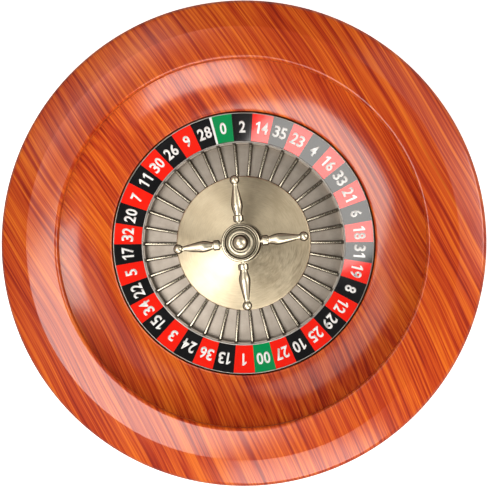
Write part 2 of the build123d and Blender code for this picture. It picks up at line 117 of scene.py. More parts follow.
def bowed(start: Point, end: Point, sag: float, steps: int) -> list[Point]:
    """Follows a bowed line.

    Args:
        start: The line's first point.
        end: Its last point.
        sag: How far its middle lies to the right of the straight line.
        steps: How many chords stand for it.

    Returns:
        The points between the two ends, without the ends.
    """
    first, last = Vector(start), Vector(end)
    chord = last - first
    right = Vector((chord.y, -chord.x)).normalized()
    radius = (chord.length**2 / 4 + sag**2) / (2 * abs(sag))
    centre = (first + last) / 2 + right * (sag - math.copysign(radius, sag))
    return sweep(centre, first, last, steps)[1:-1]


def rounded(*corners: Corner, steps: int = 6) -> list[Point]:
    """Rounds the corners of a closed outline.

    Args:
        corners: Each is (radius, level) or (radius, level, rounding), in millimetres.
        steps: How many chords stand for each rounding.

    Returns:
        The outline's points.
    """
    outline: list[Point] = []
    for index, corner in enumerate(corners):
        here = Vector(corner[:2])
        if len(corner) == 2:
            outline.append(tuple(here))
            continue
        before = (Vector(corners[index - 1][:2]) - here).normalized()
        after = (Vector(corners[(index + 1) % len(corners)][:2]) - here).normalized()
        half = before.angle(after) / 2
        reach = corner[2] / math.tan(half)
        centre = here + (before + after).normalized() * corner[2] / math.sin(half)
        outline += sweep(centre, here + before * reach, here + after * reach, steps)
    return outline


def through(start: Point, middle: Point, end: Point, steps: int) -> list[Point]:
    """Follows the arc through three points.

    Args:
        start: The arc's first point.
        middle: A point on it.
        end: Its last point.
        steps: How many chords stand for it.

    Returns:
        The arc's points after the first.
    """
    a, b, c = Vector(start), Vector(middle), Vector(end)
    d = 2 * (a.x * (b.y - c.y) + b.x * (c.y - a.y) + c.x * (a.y - b.y))
    x = (a.length_squared * (b.y - c.y) + b.length_squared * (c.y - a.y) + c.length_squared * (a.y - b.y)) / d
    y = (a.length_squared * (c.x - b.x) + b.length_squared * (a.x - c.x) + c.length_squared * (b.x - a.x)) / d
    centre, half = Vector((x, y)), steps // 2
    points = sweep(centre, a, b, half)[1:] + sweep(centre, b, c, half)[1:]
    points[-1] = (max(points[-1][0], 0.0), points[-1][1])
    return points


def flowing(knots: list[Vector], steps: int) -> list[Point]:
    """Draws a smooth line through points.

    Args:
        knots: The points.
        steps: How many chords stand for each stretch.

    Returns:
        The line's points, without the last.
    """
    padded = [knots[0] * 2 - knots[1], *knots, knots[-1] * 2 - knots[-2]]
    points = []
    for before, start, end, after in zip(padded, padded[1:], padded[2:], padded[3:]):
        for step in range(steps):
            t = step / steps
            point = start + (end - before) * (t / 2)
            point += (before * 2 - start * 5 + end * 4 - after) * (t * t / 2)
            points.append(tuple(point + (start * 3 - before - end * 3 + after) * (t * t * t / 2)))
    return points


# ---- Meshes ----


def meshed(name: str, shape: Shape) -> Mesh:
    """Makes a mesh of a shape.

    Args:
        name: The mesh's name.
        shape: The shape, which is used up.

    Returns:
        The mesh.
    """
    mesh = bpy.data.meshes.new(name)
    shape.to_mesh(mesh)
    shape.free()
    return mesh


def smooth(mesh: Mesh, crease: float = 32.0) -> Mesh:
    """Shades a mesh smooth except along its sharp edges.

    Args:
        mesh: The mesh.
        crease: How many degrees make an edge sharp.

    Returns:
        The same mesh.
    """
    mesh.shade_smooth()
    mesh.set_sharp_from_angle(angle=math.radians(crease))
    return mesh


def place(name: str, data: bpy.types.ID) -> Object:
    """Puts a mesh, a text, a light or a camera into the scene.

    Args:
        name: The object's name.
        data: What it holds.

    Returns:
        The object, at the origin.
    """
    made = bpy.data.objects.new(name, data)
    bpy.context.scene.collection.objects.link(made)
    return made


def turned(name: str, outline: list[Point], steps: int) -> Mesh:
    """Turns a closed outline about the Z axis, as a lathe does.

    Args:
        name: The mesh's name.
        outline: Points (radius, level) in millimetres; those at radius 0 become poles.
        steps: How many flats go round.

    Returns:
        A closed mesh in metres, with its faces outwards.
    """
    shape = bmesh.new()
    rings = []
    for radius, level in outline:
        if radius < 1e-6:
            rings.append([shape.verts.new((0, 0, level * MM))] * steps)
            continue
        angles = [FULL_TURN * step / steps for step in range(steps)]
        around = [(radius * MM * math.cos(a), radius * MM * math.sin(a), level * MM) for a in angles]
        rings.append([shape.verts.new(spot) for spot in around])
    for index, ring in enumerate(rings):
        other = rings[(index + 1) % len(rings)]
        for step in range(steps):
            following = (step + 1) % steps
            face = list(dict.fromkeys((ring[step], ring[following], other[following], other[step])))
            if len(face) > 2:
                shape.faces.new(face)
    bmesh.ops.recalc_face_normals(shape, faces=shape.faces)
    return smooth(meshed(name, shape))


def prism(rows: list[list[Vector]]) -> Shape:
    """Skins a row of outlines that have equally many corners.

    Args:
        rows: Each outline's corners, in metres.

    Returns:
        A closed shape with its faces outwards.
    """
    shape = bmesh.new()
    rings = [[shape.verts.new(corner) for corner in row] for row in rows]
    for ring, following in zip(rings, rings[1:]):
        for side, corner in enumerate(ring):
            other = (side + 1) % len(ring)
            shape.faces.new((corner, ring[other], following[other], following[side]))
    shape.faces.new(rings[0])
    shape.faces.new(list(reversed(rings[-1])))
    bmesh.ops.recalc_face_normals(shape, faces=shape.faces)
    return shape


def evaluated(built: Object) -> Mesh:
    """Takes the mesh that an object's modifiers or its text make, and removes the object.

    Args:
        built: The object.

    Returns:
        The mesh.
    """
    bpy.context.view_layer.update()
    graph = bpy.context.evaluated_depsgraph_get()
    mesh = bpy.data.meshes.new_from_object(built.evaluated_get(graph), depsgraph=graph)
    bpy.data.objects.remove(built)
    return mesh


# ---- Node trees ----


class Wiring:
    """Adds nodes to one tree."""

    def __init__(self, tree: Tree) -> None:
        """Takes the tree that the nodes go to."""
        self.tree = tree

    def add(self, kind: str, terms: dict[str | int, Term], **settings: object) -> bpy.types.Node:
        """Adds a node.

        Args:
            kind: The node's type.
            terms: What its inputs get, by name or number: a value, or a socket to link from.
            settings: Its properties.

        Returns:
            The node.
        """
        node = self.tree.nodes.new(kind)
        for label, value in settings.items():
            setattr(node, label, value)
        for label, term in terms.items():
            if isinstance(term, Socket):
                self.tree.links.new(term, node.inputs[label])
            else:
                node.inputs[label].default_value = term
        return node

    def math(self, operation: str, *terms: Term) -> Socket:
        """Adds a Math node, and returns its output."""
        return self.add("ShaderNodeMath", dict(enumerate(terms)), operation=operation).outputs[0]

    def plus(self, *terms: Term) -> Socket:
        """Adds two terms."""
        return self.math("ADD", *terms)

    def times(self, *terms: Term) -> Socket:
        """Multiplies two terms."""
        return self.math("MULTIPLY", *terms)

    def combine(self, *terms: Term) -> Socket:
        """Makes a vector of three terms."""
        return self.add("ShaderNodeCombineXYZ", dict(enumerate(terms))).outputs[0]

    def split(self, vector: Socket) -> tuple[Socket, ...]:
        """Takes a vector's three parts."""
        return tuple(self.add("ShaderNodeSeparateXYZ", {0: vector}).outputs)

    def polar(self, vector: Socket) -> tuple[Socket, ...]:
        """Measures a place about the Z axis.

        Args:
            vector: The place.

        Returns:
            Its distance from the axis, its angle in radians and its level.
        """
        x, y, z = self.split(vector)
        distance = self.math("SQRT", self.plus(self.times(x, x), self.times(y, y)))
        return distance, self.math("ARCTAN2", y, x), z

    def scaled(self, vector: Socket, scale: Term) -> Socket:
        """Multiplies a vector by a number."""
        return self.add("ShaderNodeVectorMath", {0: vector, "Scale": scale}, operation="SCALE").outputs[0]

    def noise(self, vector: Term, detail: float, roughness: float = 0.5) -> Socket:
        """Adds noise on a vector that is already scaled, and returns its value."""
        terms = {"Vector": vector, "Scale": 1.0, "Detail": detail, "Roughness": roughness}
        return self.add("ShaderNodeTexNoise", terms).outputs["Fac"]


class Group(Wiring):
    """A node group under construction."""

    def __init__(self, name: str, kind: str, inputs: dict[str, Term | str], outputs: dict[str, str]) -> None:
        """Opens the group.

        Args:
            name: The group's name.
            kind: The tree's type.
            inputs: The first values of its inputs, or the types of those that have none.
            outputs: The types of its outputs.
        """
        super().__init__(bpy.data.node_groups.new(name, kind))
        for label, value in inputs.items():
            plain = isinstance(value, str)
            kind = f"NodeSocket{value}" if plain else "NodeSocketFloat"
            socket = self.tree.interface.new_socket(label, in_out="INPUT", socket_type=kind)
            if not plain:
                socket.default_value = value
        for label, kind in outputs.items():
            self.tree.interface.new_socket(label, in_out="OUTPUT", socket_type=f"NodeSocket{kind}")
        self.given = self.add("NodeGroupInput", {}).outputs

    def close(self, **values: Socket) -> Tree:
        """Links the group's outputs, and returns its tree."""
        self.add("NodeGroupOutput", {label.title(): value for label, value in values.items()})
        return self.tree


@cache
def copies_tree() -> Tree:
    """Builds the tree that sets copies of one piece round the spindle's axis.

    Returns:
        A tree with the inputs Unit, Count, Pitch, First Angle, Skip and Finish.
    """
    inputs = {"Unit": "Object", "Count": "Int", "Skip": "Int", "Finish": "Material"}
    inputs |= dict.fromkeys(("Pitch", "First Angle"), "Float")
    group = Group("copies_round_the_axis", "GeometryNodeTree", inputs, {"Geometry": "Geometry"})
    given, index = group.given, group.add("GeometryNodeInputIndex", {}).outputs[0]
    turn = group.plus(group.times(index, given["Pitch"]), given["First Angle"])
    terms = {2: index, 3: given["Skip"]}
    wanted = group.add("FunctionNodeCompare", terms, data_type="INT", operation="NOT_EQUAL")
    unit = group.add("GeometryNodeObjectInfo", {"Object": given["Unit"]})
    points = group.add("GeometryNodePoints", {"Count": given["Count"]})
    terms = {
        "Points": points.outputs[0],
        "Selection": wanted.outputs[0],
        "Instance": unit.outputs["Geometry"],
        "Rotation": group.combine(0.0, 0.0, turn),
    }
    spread = group.add("GeometryNodeInstanceOnPoints", terms)
    solid = group.add("GeometryNodeRealizeInstances", {0: spread.outputs[0]})
    dress = group.add("GeometryNodeSetMaterial", {"Geometry": solid.outputs[0], "Material": given["Finish"]})
    return group.close(geometry=dress.outputs[0])


@cache
def figure_group() -> Tree:
    """Wood figure: long streaks along X that bow gently, with fine dark pores.

    Returns:
        The group, with the outputs Tone, Streak and Pore, each from 0 to 1.
    """
    inputs = {
        "Vector": "Vector", "Band Scale": 150.0, "Fibre Scale": 640.0, "Stretch": 85.0, "Arch": 0.25,
        "Wander": 0.016, "Depth Share": 0.07,
    }
    group = Group("wood_figure", "ShaderNodeTree", inputs, dict.fromkeys(("Tone", "Streak", "Pore"), "Float"))
    given, plus, times = group.given, group.plus, group.times
    along, across, level = group.split(given["Vector"])
    slow = group.combine(times(along, 5.0), times(across, 7.0), times(level, 7.0))
    sway = times(plus(group.noise(slow, 1.0), -0.5), given["Wander"])
    bent = plus(plus(across, times(times(along, along), given["Arch"])), sway)
    layers = []
    for scale, factor, detail in (
        ("Band Scale", 1.0, 1.0), ("Band Scale", 3.1, 2.0), ("Fibre Scale", 1.0, 1.0), ("Fibre Scale", 0.6, 1.0)
    ):
        wide = times(given[scale], factor)
        long = group.math("DIVIDE", wide, given["Stretch"])
        deep = times(wide, given["Depth Share"])
        vector = group.combine(plus(times(along, long), factor * 7.0), times(bent, wide), times(level, deep))
        layers.append(group.noise(vector, detail, 0.55))
    bands, streaks, fibres, pores = layers
    tone = plus(plus(times(bands, 0.4), times(streaks, 0.6)), times(plus(fibres, -0.5), 0.34))
    pore = group.math("SMOOTH_MIN", times(plus(pores, -0.6), 5.0), 1.0, 0.1)
    return group.close(tone=tone, streak=streaks, pore=pore)


@cache
def turning_group() -> Tree:
    """Fine marks that a lathe or a brush leaves in circles round the axis.

    Returns:
        The group, with the outputs Mark and Cloud, each from 0 to 1.
    """
    inputs = {"Vector": "Vector", "Marks": 2400.0, "Length": 6.0, "Cloud Scale": 40.0}
    group = Group("turning_marks", "ShaderNodeTree", inputs, {"Mark": "Float", "Cloud": "Float"})
    given, plus, times = group.given, group.plus, group.times
    radius, angle, z = group.polar(given["Vector"])
    ring, around = times(plus(radius, z), given["Marks"]), times(angle, given["Length"])
    mark = group.noise(group.combine(ring, around, times(z, 90.0)), 2.0, 0.6)
    cloud = group.noise(group.scaled(given["Vector"], given["Cloud Scale"]), 3.0, 0.55)
    return group.close(mark=mark, cloud=cloud)


@cache
def handling_group() -> Tree:
    """Faint smears and specks that handling leaves on a surface.

    Returns:
        The group, with the outputs Smear and Speck, each from 0 to 1.
    """
    inputs = {"Vector": "Vector", "Smear Scale": 18.0, "Speck Scale": 900.0}
    group = Group("handling", "ShaderNodeTree", inputs, {"Smear": "Float", "Speck": "Float"})
    vector, given = group.given["Vector"], group.given
    smear = group.noise(group.scaled(vector, given["Smear Scale"]), 4.0, 0.6)
    speck = group.noise(group.scaled(vector, given["Speck Scale"]), 1.0, 0.5)
    return group.close(smear=smear, speck=speck)


# ---- Finishes ----


def opaque(term: Term) -> Term:
    """Gives a colour its alpha, and leaves other terms as they are."""
    return (*term, 1.0) if isinstance(term, tuple) else term


class Recipe(Wiring):
    """A material under construction: one Principled shader and what feeds it."""

    def __init__(self, name: str, **settings: float | Colour) -> None:
        """Opens the material.

        Args:
            name: The material's name.
            settings: Values for the shader's sockets, with _ for the blanks in their names.
        """
        self.material = bpy.data.materials.new(name)
        self.material.use_nodes = True
        super().__init__(self.material.node_tree)
        self.shader = self.tree.nodes["Principled BSDF"]
        for label, value in settings.items():
            label = label.replace("_", " ").title().replace("Ior", "IOR")
            self.shader.inputs[label].default_value = opaque(value)
        places = self.add("ShaderNodeTexCoord", {}).outputs
        self.spot, self.normal = places["Object"], places["Normal"]

    def effect(self, tree: Tree, **terms: Term) -> bpy.types.NodeOutputs:
        """Adds a shared group, whose inputs get terms with _ for the blanks in their names."""
        named = {label.replace("_", " ").title(): term for label, term in terms.items()}
        return self.add("ShaderNodeGroup", {"Vector": self.spot, **named}, node_tree=tree).outputs

    def ramp(self, value: Socket, *stops: tuple[float, Colour]) -> Socket:
        """Colours a value.

        Args:
            value: The value.
            stops: The colours and where they lie.

        Returns:
            The colour.
        """
        node = self.add("ShaderNodeValToRGB", {"Fac": value})
        elements = node.color_ramp.elements
        while len(elements) < len(stops):
            elements.new(0.5)
        for element, (position, colour) in zip(elements, stops):
            element.position, element.color = position, opaque(colour)
        return node.outputs["Color"]

    def mix(self, share: Term, low: Term, high: Term) -> Socket:
        """Mixes two colours by a share, and returns the mixture."""
        terms = {0: share, 6: opaque(low), 7: opaque(high)}
        return self.add("ShaderNodeMix", terms, data_type="RGBA").outputs[2]

    def between(self, value: Term, low: float, high: float, start: float = 0.3, end: float = 0.7) -> Term:
        """Maps a value from start..end to low..high."""
        return self.add("ShaderNodeMapRange", dict(enumerate((value, start, end, low, high)))).outputs[0]

    def upward(self) -> Socket:
        """Tells how far a face looks up, from -1 to 1."""
        return self.split(self.normal)[2]

    def feed(self, label: str, socket: Socket) -> None:
        """Links a socket to the shader's input of that name."""
        self.tree.links.new(socket, self.shader.inputs[label])

    def close(
        self, colour: Term, roughness: Term, height: Term, depth: float, strength: float
    ) -> Material:
        """Feeds the shader.

        Args:
            colour: What feeds its colour.
            roughness: What feeds its roughness.
            height: What feeds its bump.
            depth: The bump's depth in metres.
            strength: The bump's strength.

        Returns:
            The material.
        """
        self.feed("Base Color", colour)
        self.feed("Roughness", roughness)
        bump = self.add("ShaderNodeBump", {"Distance": depth, "Strength": strength, "Height": height})
        self.feed("Normal", bump.outputs[0])
        return self.material


@dataclass(frozen=True)
class Veneer:
    """Streaked wood under clear lacquer, with shorter streaks on upright faces."""

    name: str = "lacquered_veneer"
    streak_angle: float = -60.0
    dark: Colour = (0.24, 0.011, 0.001)
    red: Colour = (0.41, 0.032, 0.003)
    body: Colour = (0.55, 0.072, 0.006)
    light: Colour = (0.72, 0.15, 0.011)

    def make(self) -> Material:
        """Builds the material.

        Returns:
            The material.
        """
        coat = {"coat_weight": 1.0, "coat_roughness": 0.18, "coat_ior": 1.5}
        recipe = Recipe(self.name, roughness=0.5, specular_ior_level=0.15, **coat)
        terms = {"Rotation": (0.0, 0.0, math.radians(-self.streak_angle)), "Vector": recipe.spot}
        place_on_board = recipe.add("ShaderNodeMapping", terms).outputs[0]
        side = recipe.between(recipe.upward(), 0.28, 0.07, 0.05, 0.35)
        figure = recipe.effect(figure_group(), vector=place_on_board, depth_share=side)
        tone, pore = figure["Tone"], recipe.between(figure["Pore"], 0.0, 0.5, 0.0, 1.0)
        colour = recipe.ramp(tone, (0.33, self.dark), (0.43, self.red), (0.52, self.body), (0.66, self.light))
        colour = recipe.mix(pore, colour, self.dark)
        return recipe.close(colour, recipe.between(tone, 0.5, 0.36), tone, 0.0003, 0.1)


@dataclass(frozen=True)
class Board:
    """Stained board, matt, with a closed grain."""

    name: str = "stained_board"
    dark: Colour = (0.035, 0.018, 0.009)
    light: Colour = (0.13, 0.072, 0.038)

    def make(self) -> Material:
        """Builds the material.

        Returns:
            The material.
        """
        recipe = Recipe(self.name, roughness=0.75, specular_ior_level=0.3)
        figure = recipe.effect(figure_group(), band_scale=95.0, fibre_scale=900.0, stretch=14.0)
        colour = recipe.ramp(figure["Tone"], (0.35, self.dark), (0.65, self.light))
        return recipe.close(colour, recipe.between(figure["Streak"], 0.65, 0.85), figure["Tone"], 0.0006, 0.5)


@dataclass(frozen=True)
class TurnedMetal:
    """Metal with circular marks and a soft cloudiness; a dark colour on steep faces that is partly patina and
    partly painted shade, and painted shade beside separators.
    """

    name: str
    bright: Colour
    dull: Colour
    low_roughness: float
    high_roughness: float
    marks: float = 2400.0
    depth: float = 0.00002
    strength: float = 0.3
    anisotropy: float = 0.0
    cloud_scale: float = 40.0
    # Dark colour for steep faces: partly patina, partly painted shade on the sides and outlines.
    patina_and_shade: Colour | None = None
    corner_shade: Colour | None = None
    corner_shade_share: float = 0.85
    corner_shade_reach: Point = (0.0014, 0.0024)

    def make(self) -> Material:
        """Builds the material.

        Returns:
            The material.
        """
        shine = {"metallic": 1.0, "roughness": self.low_roughness, "anisotropic": self.anisotropy}
        recipe = Recipe(self.name, specular_ior_level=0.1 if self.patina_and_shade else 0.5, **shine)
        turning = recipe.effect(turning_group(), marks=self.marks, cloud_scale=self.cloud_scale)
        cloud = recipe.plus(recipe.times(turning["Cloud"], 0.6), recipe.times(turning["Mark"], 0.4))
        colour = recipe.ramp(cloud, (0.36, self.dull), (0.6, self.bright))
        roughness = recipe.between(turning["Mark"], self.low_roughness, self.high_roughness)
        if self.patina_and_shade:
            # Painted shade, partly patina: faces that turn sideways or down get the dark colour, lose their metal
            # and grow rougher.
            steep = recipe.between(recipe.upward(), 1.0, 0.0, 0.55, 0.85)
            colour = recipe.mix(steep, colour, self.patina_and_shade)
            recipe.feed("Metallic", recipe.between(steep, 1.0, 0.0, 0.0, 1.0))
            roughness = recipe.plus(roughness, recipe.times(steep, 0.4))
        # Painted shade: the colour darkens along both sides of each separator, in the pockets' corners.
        if self.corner_shade:
            colour = recipe.mix(self.beside_frets(recipe), colour, self.corner_shade)
        if self.anisotropy:
            tangent = recipe.add("ShaderNodeTangent", {}, direction_type="RADIAL", axis="Z")
            recipe.feed("Tangent", tangent.outputs[0])
        return recipe.close(colour, roughness, turning["Mark"], self.depth, self.strength)

    def beside_frets(self, recipe: Recipe) -> Socket:
        """Finds the corners of the pockets, where shade is painted.

        Args:
            recipe: The material under construction.

        Returns:
            The grime's share, which is 0 in the middle of a pocket.
        """
        radius, angle, _ = recipe.polar(recipe.spot)
        turn = recipe.math("SUBTRACT", angle, math.radians(ZERO_ANGLE + HALF_POCKET))
        beside = recipe.times(recipe.math("PINGPONG", turn, math.radians(HALF_POCKET)), radius)
        return recipe.between(beside, self.corner_shade_share, 0.0, *self.corner_shade_reach)


@dataclass(frozen=True)
class Moulded:
    """Printed plastic under a gloss, or bare rubber, with faint smears and specks."""

    name: str
    colour: Colour
    worn: Colour
    roughness: Point = (0.45, 0.6)
    specular: float = 0.02
    gloss: float = 1.0
    smear_scale: float = 60.0
    speck_scale: float = 1500.0
    depth: float = 0.00001
    strength: float = 0.4

    def make(self) -> Material:
        """Builds the material.

        Returns:
            The material.
        """
        coat = {"coat_weight": self.gloss, "coat_roughness": 0.06, "coat_ior": 1.57}
        recipe = Recipe(self.name, roughness=0.5, specular_ior_level=self.specular, **coat)
        scales = {"smear_scale": self.smear_scale, "speck_scale": self.speck_scale}
        handling = recipe.effect(handling_group(), **scales)
        colour = recipe.ramp(handling["Smear"], (0.4, self.colour), (0.75, self.worn))
        roughness = recipe.between(handling["Smear"], *self.roughness)
        return recipe.close(colour, roughness, handling["Speck"], self.depth, self.strength)


TRIM_METAL = TurnedMetal("bright_trim", (0.42, 0.40, 0.37), (0.3, 0.28, 0.26), 0.3, 0.45)
FOOT_RUBBER = Moulded(
    "foot_rubber", (0.018, 0.018, 0.019), (0.05, 0.048, 0.045), (0.72, 0.88),
    specular=0.35, gloss=0.0, smear_scale=90.0, speck_scale=3000.0, depth=0.00008, strength=0.6,
)
# The pocket metal's dark colour beside the separators is painted shade.
POCKET_METAL = TurnedMetal(
    "pocket_metal", (0.42, 0.37, 0.32), (0.35, 0.305, 0.26), 0.5, 0.62,
    cloud_scale=90.0, corner_shade=(0.03, 0.02, 0.012),
)
BRUSHED = TurnedMetal(
    "brushed_antique_brass", (0.71, 0.6, 0.42), (0.55, 0.45, 0.3), 0.3, 0.42,
    marks=1800.0, strength=0.5, anisotropy=0.5,
)
# The polished brass's dark colour on steep faces is partly patina, partly painted shade.
POLISHED = TurnedMetal(
    "polished_antique_brass", (0.9, 0.8, 0.6), (0.84, 0.73, 0.54), 0.33, 0.38,
    strength=0.01, patina_and_shade=(0.03, 0.018, 0.008),
)


@cache
def mixed(finish: Veneer | Board | TurnedMetal | Moulded) -> Material:
    """Makes a finish's material, once."""
    return finish.make()


class Look(Enum):
    """Every finish, each with the record's slot that it fills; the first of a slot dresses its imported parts."""

    WOOD = "lacquered_wood", Veneer()
    BOARD = "board", Board()
    RUBBER = "foot_rubber", FOOT_RUBBER
    ZINC = "zinc_steel", TurnedMetal("zinc_plate", (0.62, 0.61, 0.58), (0.42, 0.42, 0.42), 0.28, 0.45)
    BEARING = "bearing_steel", TurnedMetal("bearing_steel", (0.75, 0.75, 0.76), (0.6, 0.6, 0.62), 0.12, 0.25)
    ALLOY = "hub_alloy", TurnedMetal("hub_alloy", (0.72, 0.72, 0.74), (0.55, 0.55, 0.57), 0.25, 0.4)
    TRIM = "bright_trim", TRIM_METAL
    POCKET = "pocket_metal", POCKET_METAL
    FRET = "pocket_metal", TurnedMetal("fret_metal", (0.48, 0.43, 0.34), (0.4, 0.36, 0.28), 0.22, 0.3)
    BRASS = "antique_brass", POLISHED
    CONE = "antique_brass", BRUSHED
    RED = "printed_ring", Moulded("ring_red", (0.9, 0.012, 0.004), (0.8, 0.02, 0.008))
    BLACK = "printed_ring", Moulded("ring_black", (0.006, 0.006, 0.007), (0.012, 0.012, 0.013))
    GREEN = "printed_ring", Moulded("ring_green", (0.0, 0.27, 0.075), (0.01, 0.24, 0.075))
    BACKING = "printed_ring", TRIM_METAL
    WHITE = "printed_ring", Moulded("numeral_white", (0.88, 0.88, 0.87), (0.8, 0.8, 0.78))

    @property
    def slot(self) -> str:
        """The record's slot that the finish fills."""
        return self.value[0]


    @property
    def material(self) -> Material:
        """The finish's material."""
        return mixed(self.value[1])


# ---- Pieces ----


def declare(piece: Object, body: str, slot: str, *nodes: str) -> None:
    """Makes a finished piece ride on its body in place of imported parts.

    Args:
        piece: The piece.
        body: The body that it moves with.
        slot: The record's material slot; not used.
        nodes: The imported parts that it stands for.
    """
    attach(piece, body)
    if nodes:
        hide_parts(*nodes)
    LOG.info("%s rides on %s, %d faces", piece.name, body, len(piece.data.polygons))


def show(mesh: Mesh, look: Look, body: str, *nodes: str) -> None:
    """Shows a mesh as one piece of that body, under its own name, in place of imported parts."""
    mesh.materials.append(look.material)
    declare(place(mesh.name, mesh), body, look.slot, *nodes)


@dataclass(frozen=True)
class Copies:
    """Copies of one piece at even angles round the axis, in degrees; the place called skip stays empty."""

    name: str
    look: Look
    body: str
    count: int
    first: float
    pitch: float = 0.0
    skip: int = -1

    def show(self, unit: Mesh, *nodes: str) -> None:
        """Sets out the copies and makes them one plain piece.

        Args:
            unit: The piece that is repeated, in its place at angle zero.
            nodes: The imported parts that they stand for.
        """
        pattern = place(f"{self.name}_unit", unit)
        host = place(f"{self.name}_host", bpy.data.meshes.new(f"{self.name}_host"))
        modifier = host.modifiers.new("copies", "NODES")
        modifier.node_group = copies_tree()
        values = {
            "Unit": pattern,
            "Count": self.count,
            "Pitch": math.radians(self.pitch or 360 / self.count),
            "First Angle": math.radians(self.first),
            "Skip": self.skip,
            "Finish": self.look.material,
        }
        for item in modifier.node_group.interface.items_tree:
            if item.in_out == "INPUT":
                modifier[item.identifier] = values[item.name]
        mesh = evaluated(host)
        bpy.data.objects.remove(pattern)
        mesh.name = self.name
        declare(place(self.name, mesh), self.body, self.look.slot, *nodes)


@dataclass(frozen=True)
class Screw:
    """A circle of screws, head down, with a cross cut into each head; sizes in millimetres."""

    node: str
    count: int
    first: float
    head: float
    shank: float
    taper: float = 0.0
    head_height: float = 2.2
    head_rounding: float = 0.8
    rim_width: float = 0.2
    rim_height: float = 0.15
    point: float = 2.0
    cross: tuple[float, float, float] = (1.25, 0.26, 0.45)

    def outline(self, low: float, high: float) -> list[Point]:
        """Draws half of the screw, with a countersunk head where it has a taper.

        Args:
            low: The level of its head's face.
            high: The level of its tip.

        Returns:
            The outline's points.
        """
        head, shank, tip = self.head, self.shank, [(self.shank, high - self.point), (0.0, high)]
        if self.taper:
            rim = [(head - self.rim_width, low), (head, low + self.rim_height)]
            return [(0.0, low), *rim, (shank, low + self.taper), *tip]
        neck = low + self.head_height
        return rounded((0.0, low), (head, low, self.head_rounding), (head, neck), (shank, neck), *tip, steps=3)

    def build(self) -> None:
        """Builds and dresses all of the circle."""
        reach = span(self.node)
        name = f"{self.node}_body"
        body = place(name, turned(name, self.outline(reach.low, reach.high), 28))
        shape = bmesh.new()
        long, narrow, deep = (share * self.head * MM for share in self.cross)
        for length, width in ((long, narrow), (narrow, long)):
            sides = Matrix.Diagonal((length, width, deep, 1))
            bmesh.ops.create_cube(shape, size=1, matrix=Matrix.Translation((0, 0, reach.low * MM)) @ sides)
        cutter = place(f"{self.node}_cutter", meshed(f"{self.node}_cutter", shape))
        cut = body.modifiers.new("cross", "BOOLEAN")
        cut.operation, cut.object, cut.solver, cut.use_self = "DIFFERENCE", cutter, "EXACT", True
        mesh = evaluated(body)
        bpy.data.objects.remove(cutter)
        radius = (reach.outer - self.head) / math.cos(math.radians(self.first))
        mesh.transform(Matrix.Translation((radius * MM, 0, 0)))
        Copies(f"{self.node}_cut", Look.ZINC, BOWL, self.count, self.first).show(smooth(mesh), self.node)


# ---- The bowl ----


@dataclass(frozen=True)
class Bowl:
    """The rim, the ball track, the board's screws and the feet, sizes in millimetres."""

    steps: int = 384
    lip_radius: float = 188.5
    lip_rounding: float = 3.2
    break_corner: Corner = (221.5, 77.5, 6.0)
    shoulder: Point = (247.0, 69.0)
    shoulder_rounding: float = 4.0
    bevel: float = 6.0
    track_top: float = 69.5
    ledge: float = 58.0
    ledge_width: float = 1.5
    ledge_height: float = 8.0
    hollow: Point = (15.0, 22.0)
    track_flange: float = 196.0
    board_radius: float = 235.5
    board_top: float = 18.0
    well_radius: float = 137.6
    well_rounding: float = 1.2
    apron_level: float = 43.5
    apron: Point = (12.4, 7.5)
    track_shell: float = 4.5
    track_sag: float = 3.9
    foot_bore: float = 1.75
    foot_seat: Point = (5.0, 3.0)
    foot_taper: float = 1.5

    def build(self) -> None:
        """Builds and dresses all of it."""
        self.rim()
        self.track()
        self.feet()
        Screw("rim_screws", 8, 22.5, 4.0, 2.0, 2.0).build()
        Screw("track_screws", 8, 22.5, 4.0, 2.0, 2.0).build()
        Screw("foot_screws", 4, 45.0, 3.5, 1.75).build()

    def rim(self) -> None:
        """The outer ring, whose top falls outwards in two facets from the lip."""
        reach, lip, ledge, bevel = span("rim_ring"), self.lip_radius, self.ledge, self.bevel
        hollow = lip + self.hollow[0]
        outline = rounded(
            (lip, self.track_top),
            (self.track_flange, self.track_top),
            (self.track_flange, ledge),
            (lip + self.ledge_width, ledge),
            (lip + self.ledge_width, ledge - self.ledge_height),
            (hollow, ledge - self.hollow[1]),
            (hollow, self.board_top),
            (self.board_radius, self.board_top),
            (self.board_radius, reach.low),
            (reach.outer - bevel, reach.low, 1.0),
            (reach.outer, reach.low + bevel, self.shoulder_rounding),
            (reach.outer, self.shoulder[1] - bevel, self.shoulder_rounding),
            (*self.shoulder, self.shoulder_rounding),
            self.break_corner,
            (lip, reach.high, self.lip_rounding),
            steps=8,
        )
        show(turned("bowl_rim", outline, self.steps), Look.WOOD, BOWL, "rim_ring")

    def track(self) -> None:
        """The bowed track that the ball runs down, and the apron below it."""
        well, top = (self.well_radius, self.apron_level), (self.lip_radius, self.track_top)
        back = self.well_radius + self.apron[0]
        outline = [
            (back, self.board_top),
            (back, self.apron_level - self.apron[1]),
            (self.lip_radius - self.track_shell, self.ledge),
            (self.track_flange, self.ledge),
            (self.track_flange, self.track_top),
            top,
            *bowed(top, well, -self.track_sag, 40),
            *rounded((*well, self.well_rounding), (self.well_radius, self.board_top), top)[:-1],
        ]
        show(turned("bowl_track", outline, self.steps), Look.WOOD, BOWL, "ball_track")

    def feet(self) -> None:
        """Four rubber feet, each a turned cup round its screw."""
        low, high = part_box("foot_1")
        middle, outer, top = (low + high) / 2, (high.x - low.x) / 2 / MM, high.z / MM
        outline = rounded(
            (self.foot_bore, self.foot_seat[1]),
            self.foot_seat,
            (self.foot_seat[0], 0.0, 0.5),
            (outer - self.foot_taper, 0.0, 1.2),
            (outer, top, 0.4),
            (self.foot_bore, top),
        )
        mesh = turned("feet", outline, 72)
        mesh.transform(Matrix.Translation((math.hypot(middle.x, middle.y), 0, 0)))
        first = math.degrees(math.atan2(middle.y, middle.x))
        Copies("feet", Look.RUBBER, BOWL, 4, first).show(mesh, "foot_1", "foot_2", "foot_3", "foot_4")


# ---- The wheel head ----


